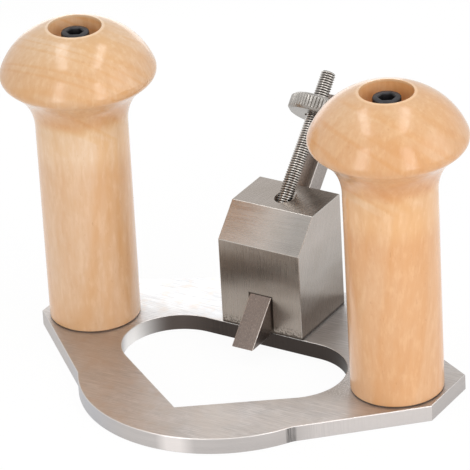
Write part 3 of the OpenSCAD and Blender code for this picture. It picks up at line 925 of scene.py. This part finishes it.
def build_lock():
    r, h, ribs, head_y = 7.0, 8.0, 36, 18.25
    thread_r, depth, pitch = 2.99, 0.5, 1.0
    rib = knurl(r, ribs, 0.38)

    def place(p):
        p = np.asarray(p)
        return np.stack([p[:, 0], head_y + p[:, 2], LOCK_Z - p[:, 1]], 1)
    rim = [(r - 0.86, 0.0), (r - 0.76, 0.06), (capped(rib, r - 0.4), 0.4),
           (capped(rib, r - 0.05), 0.76), (rib, 0.86)]
    profile = [(3.0, 0.0)] + rim + [(rib, h / 2)] + [(rad, h - z) for rad, z in reversed(rim)]
    profile += [(5.0, 8.0), (4.7, 7.85), (2.0, 7.75), (0.4, 7.75)]
    head = turned_body("lock_head", profile, ribs * 12, place)
    verts, faces = threaded_rod(-10.6, 0.05, thread_r, depth, pitch, 56, lead=0.8, tail=0.3)
    shank = make_object("lock_shank", place(verts), faces)
    root = thread_r - depth
    point = turned_body("lock_point", [(0.75, -13.55), (root, -11.85), (root, -10.5)], 56, place)

    def rule(n, c):
        if abs(n.y) > 0.8:
            return Vector((0, 1, 0)).cross(Vector(c) - Vector((0, 0, LOCK_Z)))
        return (0, 1, 0)
    for piece in (head, shank, point):
        grain_map(piece, rule)
        finish_piece(piece, "lock", ["lock_screw"], KNURLED, sharp=26,
                     weighted=piece is head)


# The handles and the screws
def handle_profile():
    """(r, h) from the foot's bore round the outside to the recess and down the bore, and the height
    of the recess's floor. h is above the plate."""
    knob_r, widest_h = 27.7, 96.2
    edge_r, edge_turn, crown_r = 4.0, math.radians(22), 26.3
    lip_r, lip_turn = 3.4, math.radians(49)
    foot_r, foot_round, shaft_h = 16.4, 0.3, 0.7
    neck_r, neck_fillet = 16.5, 20.0
    bore_r, recess_r, recess_depth, mouth_r = 3.25, 9.4, 8.0, 0.42
    edge = (knob_r - edge_r, widest_h)
    edge_end = polar(edge, edge_r, edge_turn)
    crown = polar(edge_end, -crown_r, edge_turn)
    crown_turn = math.acos((recess_r - crown[0]) / crown_r)
    mouth = crown[1] + crown_r * math.sin(crown_turn)
    lip = (knob_r - lip_r, widest_h)
    lip_end = polar(lip, lip_r, -lip_turn)
    neck_x = neck_r + neck_fillet
    beyond_lip = neck_fillet - (neck_x - lip_end[0]) * math.cos(lip_turn)
    neck_h = lip_end[1] + beyond_lip / -math.sin(lip_turn)
    neck_end = polar((neck_x, neck_h), -neck_fillet, -lip_turn)
    neck_turn = math.atan2(neck_end[1] - neck_h, neck_end[0] - neck_x)

    # The foot with its fine groove, and the shaft
    out = [(bore_r, 0.0), (foot_r - 0.5, 0.0), (foot_r - 0.4, 0.1), (foot_r - 0.4, 0.35)]
    out += arc(foot_r - foot_round, shaft_h, foot_round, -math.pi / 2, 0, 6)
    for t in np.linspace(0.06, 1.0, 12):
        out.append((foot_r + (neck_r - foot_r) * t, shaft_h + t * (neck_h - shaft_h)))
    # The neck, the sloping underside, the lip, the rounded edge and the crown
    out += arc(neck_x, neck_h, neck_fillet, math.pi, neck_turn, 26)[1:]
    for t in (0.25, 0.5, 0.75):
        out.append(tuple(a + t * (b - a) for a, b in zip(neck_end, lip_end)))
    out += arc(*lip, lip_r, -lip_turn, 0, 16)
    out += arc(*edge, edge_r, 0, edge_turn, 12)[1:]
    out += arc(*crown, crown_r, edge_turn, crown_turn - mouth_r * 1.1 / crown_r, 40)[1:]
    # The rounded mouth of the recess, its floor and the bore
    out += [(recess_r + mouth_r * 0.55, mouth - mouth_r * 0.02 - 0.02),
            (recess_r + mouth_r * 0.2, mouth - mouth_r * 0.22),
            (recess_r + 0.02, mouth - mouth_r * 0.62), (recess_r, mouth - mouth_r * 1.1)]
    floor = mouth - recess_depth
    out += [(recess_r, floor + 0.4), (recess_r - 0.1, floor + 0.1), (recess_r - 0.3, floor),
            (bore_r, floor), (bore_r, floor - 6)]
    return out, floor


def build_handle(name, side, node, material):
    rings = [moved(circle_ring(r, h, 160), side * HANDLE_X, HANDLE_Y, PLATE_T)
             for r, h in handle_profile()[0]]
    verts, faces = ring_mesh(rings + [rings[0]], closed=False)
    obj = make_object(name, verts, faces)
    finish_piece(obj, "base", [node], material, sharp=40)


def socket_rings(top, outer, chamfer, apothem, depth):
    """Rings from a head's chamfer over its top into its hexagon socket."""
    hexa = hexagon(apothem)
    return [(outer, top - chamfer), (outer - chamfer * 0.35, top - chamfer * 0.35),
            (outer - chamfer, top), (lambda a: hexa(a) + 0.42, top),
            (lambda a: hexa(a) + 0.06, top - 0.3), (hexa, top - 0.42), (hexa, top - depth),
            (2.0, top - depth - 0.25), (0.3, top - depth - 0.6)]


def build_handle_screw(name, side):
    seat = PLATE_T + handle_profile()[1]
    head_r, rim_r, head_h, ribs = 5.0, 4.98, 6.0, 36
    thread_r, depth, pitch, shank_r = 2.99, 0.5, 1.0, 2.97

    def place(p):
        return moved(p, side * HANDLE_X, HANDLE_Y)
    rib = knurl(head_r, ribs, 0.12)
    profile = [(2.9, seat), (4.8, seat), (4.95, seat + 0.12), (rib, seat + 0.3), (rib, seat + 5.1),
               (rim_r, seat + 5.3)]
    profile += socket_rings(seat + head_h, rim_r, chamfer=0.5, apothem=2.5, depth=3.0)
    head = turned_body(name + "_head", profile, ribs * 5, place)
    verts, faces = threaded_rod(0.5, 24.0, thread_r, depth, pitch, 48, lead=0.7, tail=0.3)
    thread = make_object(name + "_thread", place(verts), faces)
    shank_profile = ((thread_r - depth, 23.9), (shank_r, 24.6), (shank_r, seat + 0.05))
    shank = turned_body(name + "_shank", shank_profile, 48, place)
    for piece in (head, thread, shank):
        finish_piece(piece, "base", [name], BLACK, sharp=34, weighted=piece is head)


def build_block_screws():
    hexa, sunk = hexagon(1.5), 0.2
    profile = [(2.45, -2.3), (4.66, -0.06), (4.6, 0.0), (lambda a: hexa(a) + 0.3, 0.0),
               (hexa, -0.25), (hexa, -1.6), (1.2, -1.75), (0.2, -1.95)]
    for side, name in ((-1, "left"), (1, "right")):
        x = side * BLOCK_SCREW_X
        head = turned_body(f"block_screw_{name}_head", profile, 144,
                           lambda p: np.stack([x + p[:, 0], -p[:, 1], sunk - p[:, 2]], 1))
        verts, faces = threaded_rod(2.45, 18.0, 2.49, 0.42, 0.8, 48, lead=0.3, tail=0.5)
        thread = make_object(f"block_screw_{name}_thread", moved(verts, x), faces)
        for piece in (head, thread):
            finish_piece(piece, "base", ["block_screws"], BRIGHT, sharp=34,
                         weighted=piece is head)


# The stage
def show_plain(g, lit, seen, camera=1.0, gloss=1.0):
    """Lights the part with one shader and shows the other. camera and gloss are its shares for
    camera rays and for glossy and transmission rays."""
    path = g.nodes.new("ShaderNodeLightPath")
    mirror = g.most(path.outputs["Is Glossy Ray"], path.outputs["Is Transmission Ray"])
    share = g.most(g.product(path.outputs["Is Camera Ray"], camera), g.product(mirror, gloss))
    mix = g.nodes.new("ShaderNodeMixShader")
    g.links.new(share, mix.inputs[0])
    g.links.new(lit.outputs[0], mix.inputs[1])
    g.links.new(seen.outputs[0], mix.inputs[2])
    g.links.new(mix.outputs[0], g.output.inputs[0])


def build_floor():
    half, z = 4000.0, -0.05
    corners = [(-half, -half, z), (half, -half, z), (half, half, z), (-half, half, z)]
    obj = make_object("floor", corners, [(0, 1, 2, 3)])
    mat = bpy.data.materials.new("pale_floor")
    g = Graph(mat, "ShaderNodeOutputMaterial")
    diffuse = g.nodes.new("ShaderNodeBsdfDiffuse")
    diffuse.inputs["Color"].default_value = (0.96, 0.96, 0.96, 1)
    glow = g.nodes.new("ShaderNodeEmission")
    glow.inputs["Color"].default_value = (1, 1, 1, 1)
    glow.inputs["Strength"].default_value = 1.0
    show_plain(g, diffuse, glow, camera=0.94, gloss=0.65)
    obj.data.materials.append(mat)


def build_world():
    world = bpy.data.worlds.new("studio")
    bpy.context.scene.world = world
    g = Graph(world, "ShaderNodeOutputWorld")
    lit = g.nodes.new("ShaderNodeBackground")
    lit.inputs["Color"].default_value = (1, 1, 1, 1)
    lit.inputs["Strength"].default_value = 0.62
    seen = g.nodes.new("ShaderNodeBackground")
    seen.inputs["Color"].default_value = (1, 1, 1, 1)
    seen.inputs["Strength"].default_value = 1.0
    show_plain(g, lit, seen)


def lamp(name, place, aim, width, height, radiance, roll_to=(0, 0, 1)):
    """A soft rectangular lamp, in metres. Its height runs along roll_to."""
    data = bpy.data.lights.new(name, "AREA")
    data.shape = "RECTANGLE"
    data.size = width
    data.size_y = height
    data.energy = radiance * math.pi * width * height
    obj = bpy.data.objects.new(name, data)
    bpy.context.scene.collection.objects.link(obj)
    back = (Vector(place) - Vector(aim)).normalized()
    up = Vector(roll_to)
    up = (up - back * up.dot(back)).normalized()
    turn = Matrix((up.cross(back), up, back)).transposed().to_4x4()
    obj.matrix_world = Matrix.Translation(Vector(place)) @ turn


def build_lamps():
    """Two strips above and two in front give the steel its highlights. The low one lights the
    plate from behind, and the broad one gives the knobs their sheen on the right."""
    lamp("over_left", (-0.22, -0.13, 0.76), (-0.22, -0.13, 0.0), width=0.14, height=0.60,
         radiance=4.2, roll_to=(-0.265, 0.54, 0))
    lamp("over_right", (0.21, 0.13, 0.76), (0.21, 0.13, 0.0), width=0.12, height=0.58,
         radiance=4.4, roll_to=(-0.31, 0.49, 0))
    lamp("front_left", (-0.03, -0.56, 0.31), (-0.03, 0, 0.31), width=0.15, height=0.58,
         radiance=3.5)
    lamp("front_right", (0.50, -0.29, 0.31), (0.0, -0.02, 0.31), width=0.15, height=0.58,
         radiance=3.5)
    lamp("low_rear", (-0.175, 0.206, 0.081), (-0.03, 0.01, 0.006), width=0.225, height=0.08,
         radiance=0.8, roll_to=(0.25, -0.40, 0.88))
    lamp("side_right", (0.72, 0.17, 0.40), (0.0, -0.02, 0.09), width=0.5, height=0.5, radiance=1.3)


make_camera()
build_plate()
build_block()
build_cutter()
build_stud()
build_nut()
build_lock()
build_handle("left_turned_handle", -1, "left_handle", LEFT_WOOD)
build_handle("right_turned_handle", 1, "right_handle", RIGHT_WOOD)
build_handle_screw("left_handle_screw", -1)
build_handle_screw("right_handle_screw", 1)
build_block_screws()
build_floor()
build_world()
build_lamps()

scene = bpy.context.scene
scene.view_settings.view_transform = "Standard"
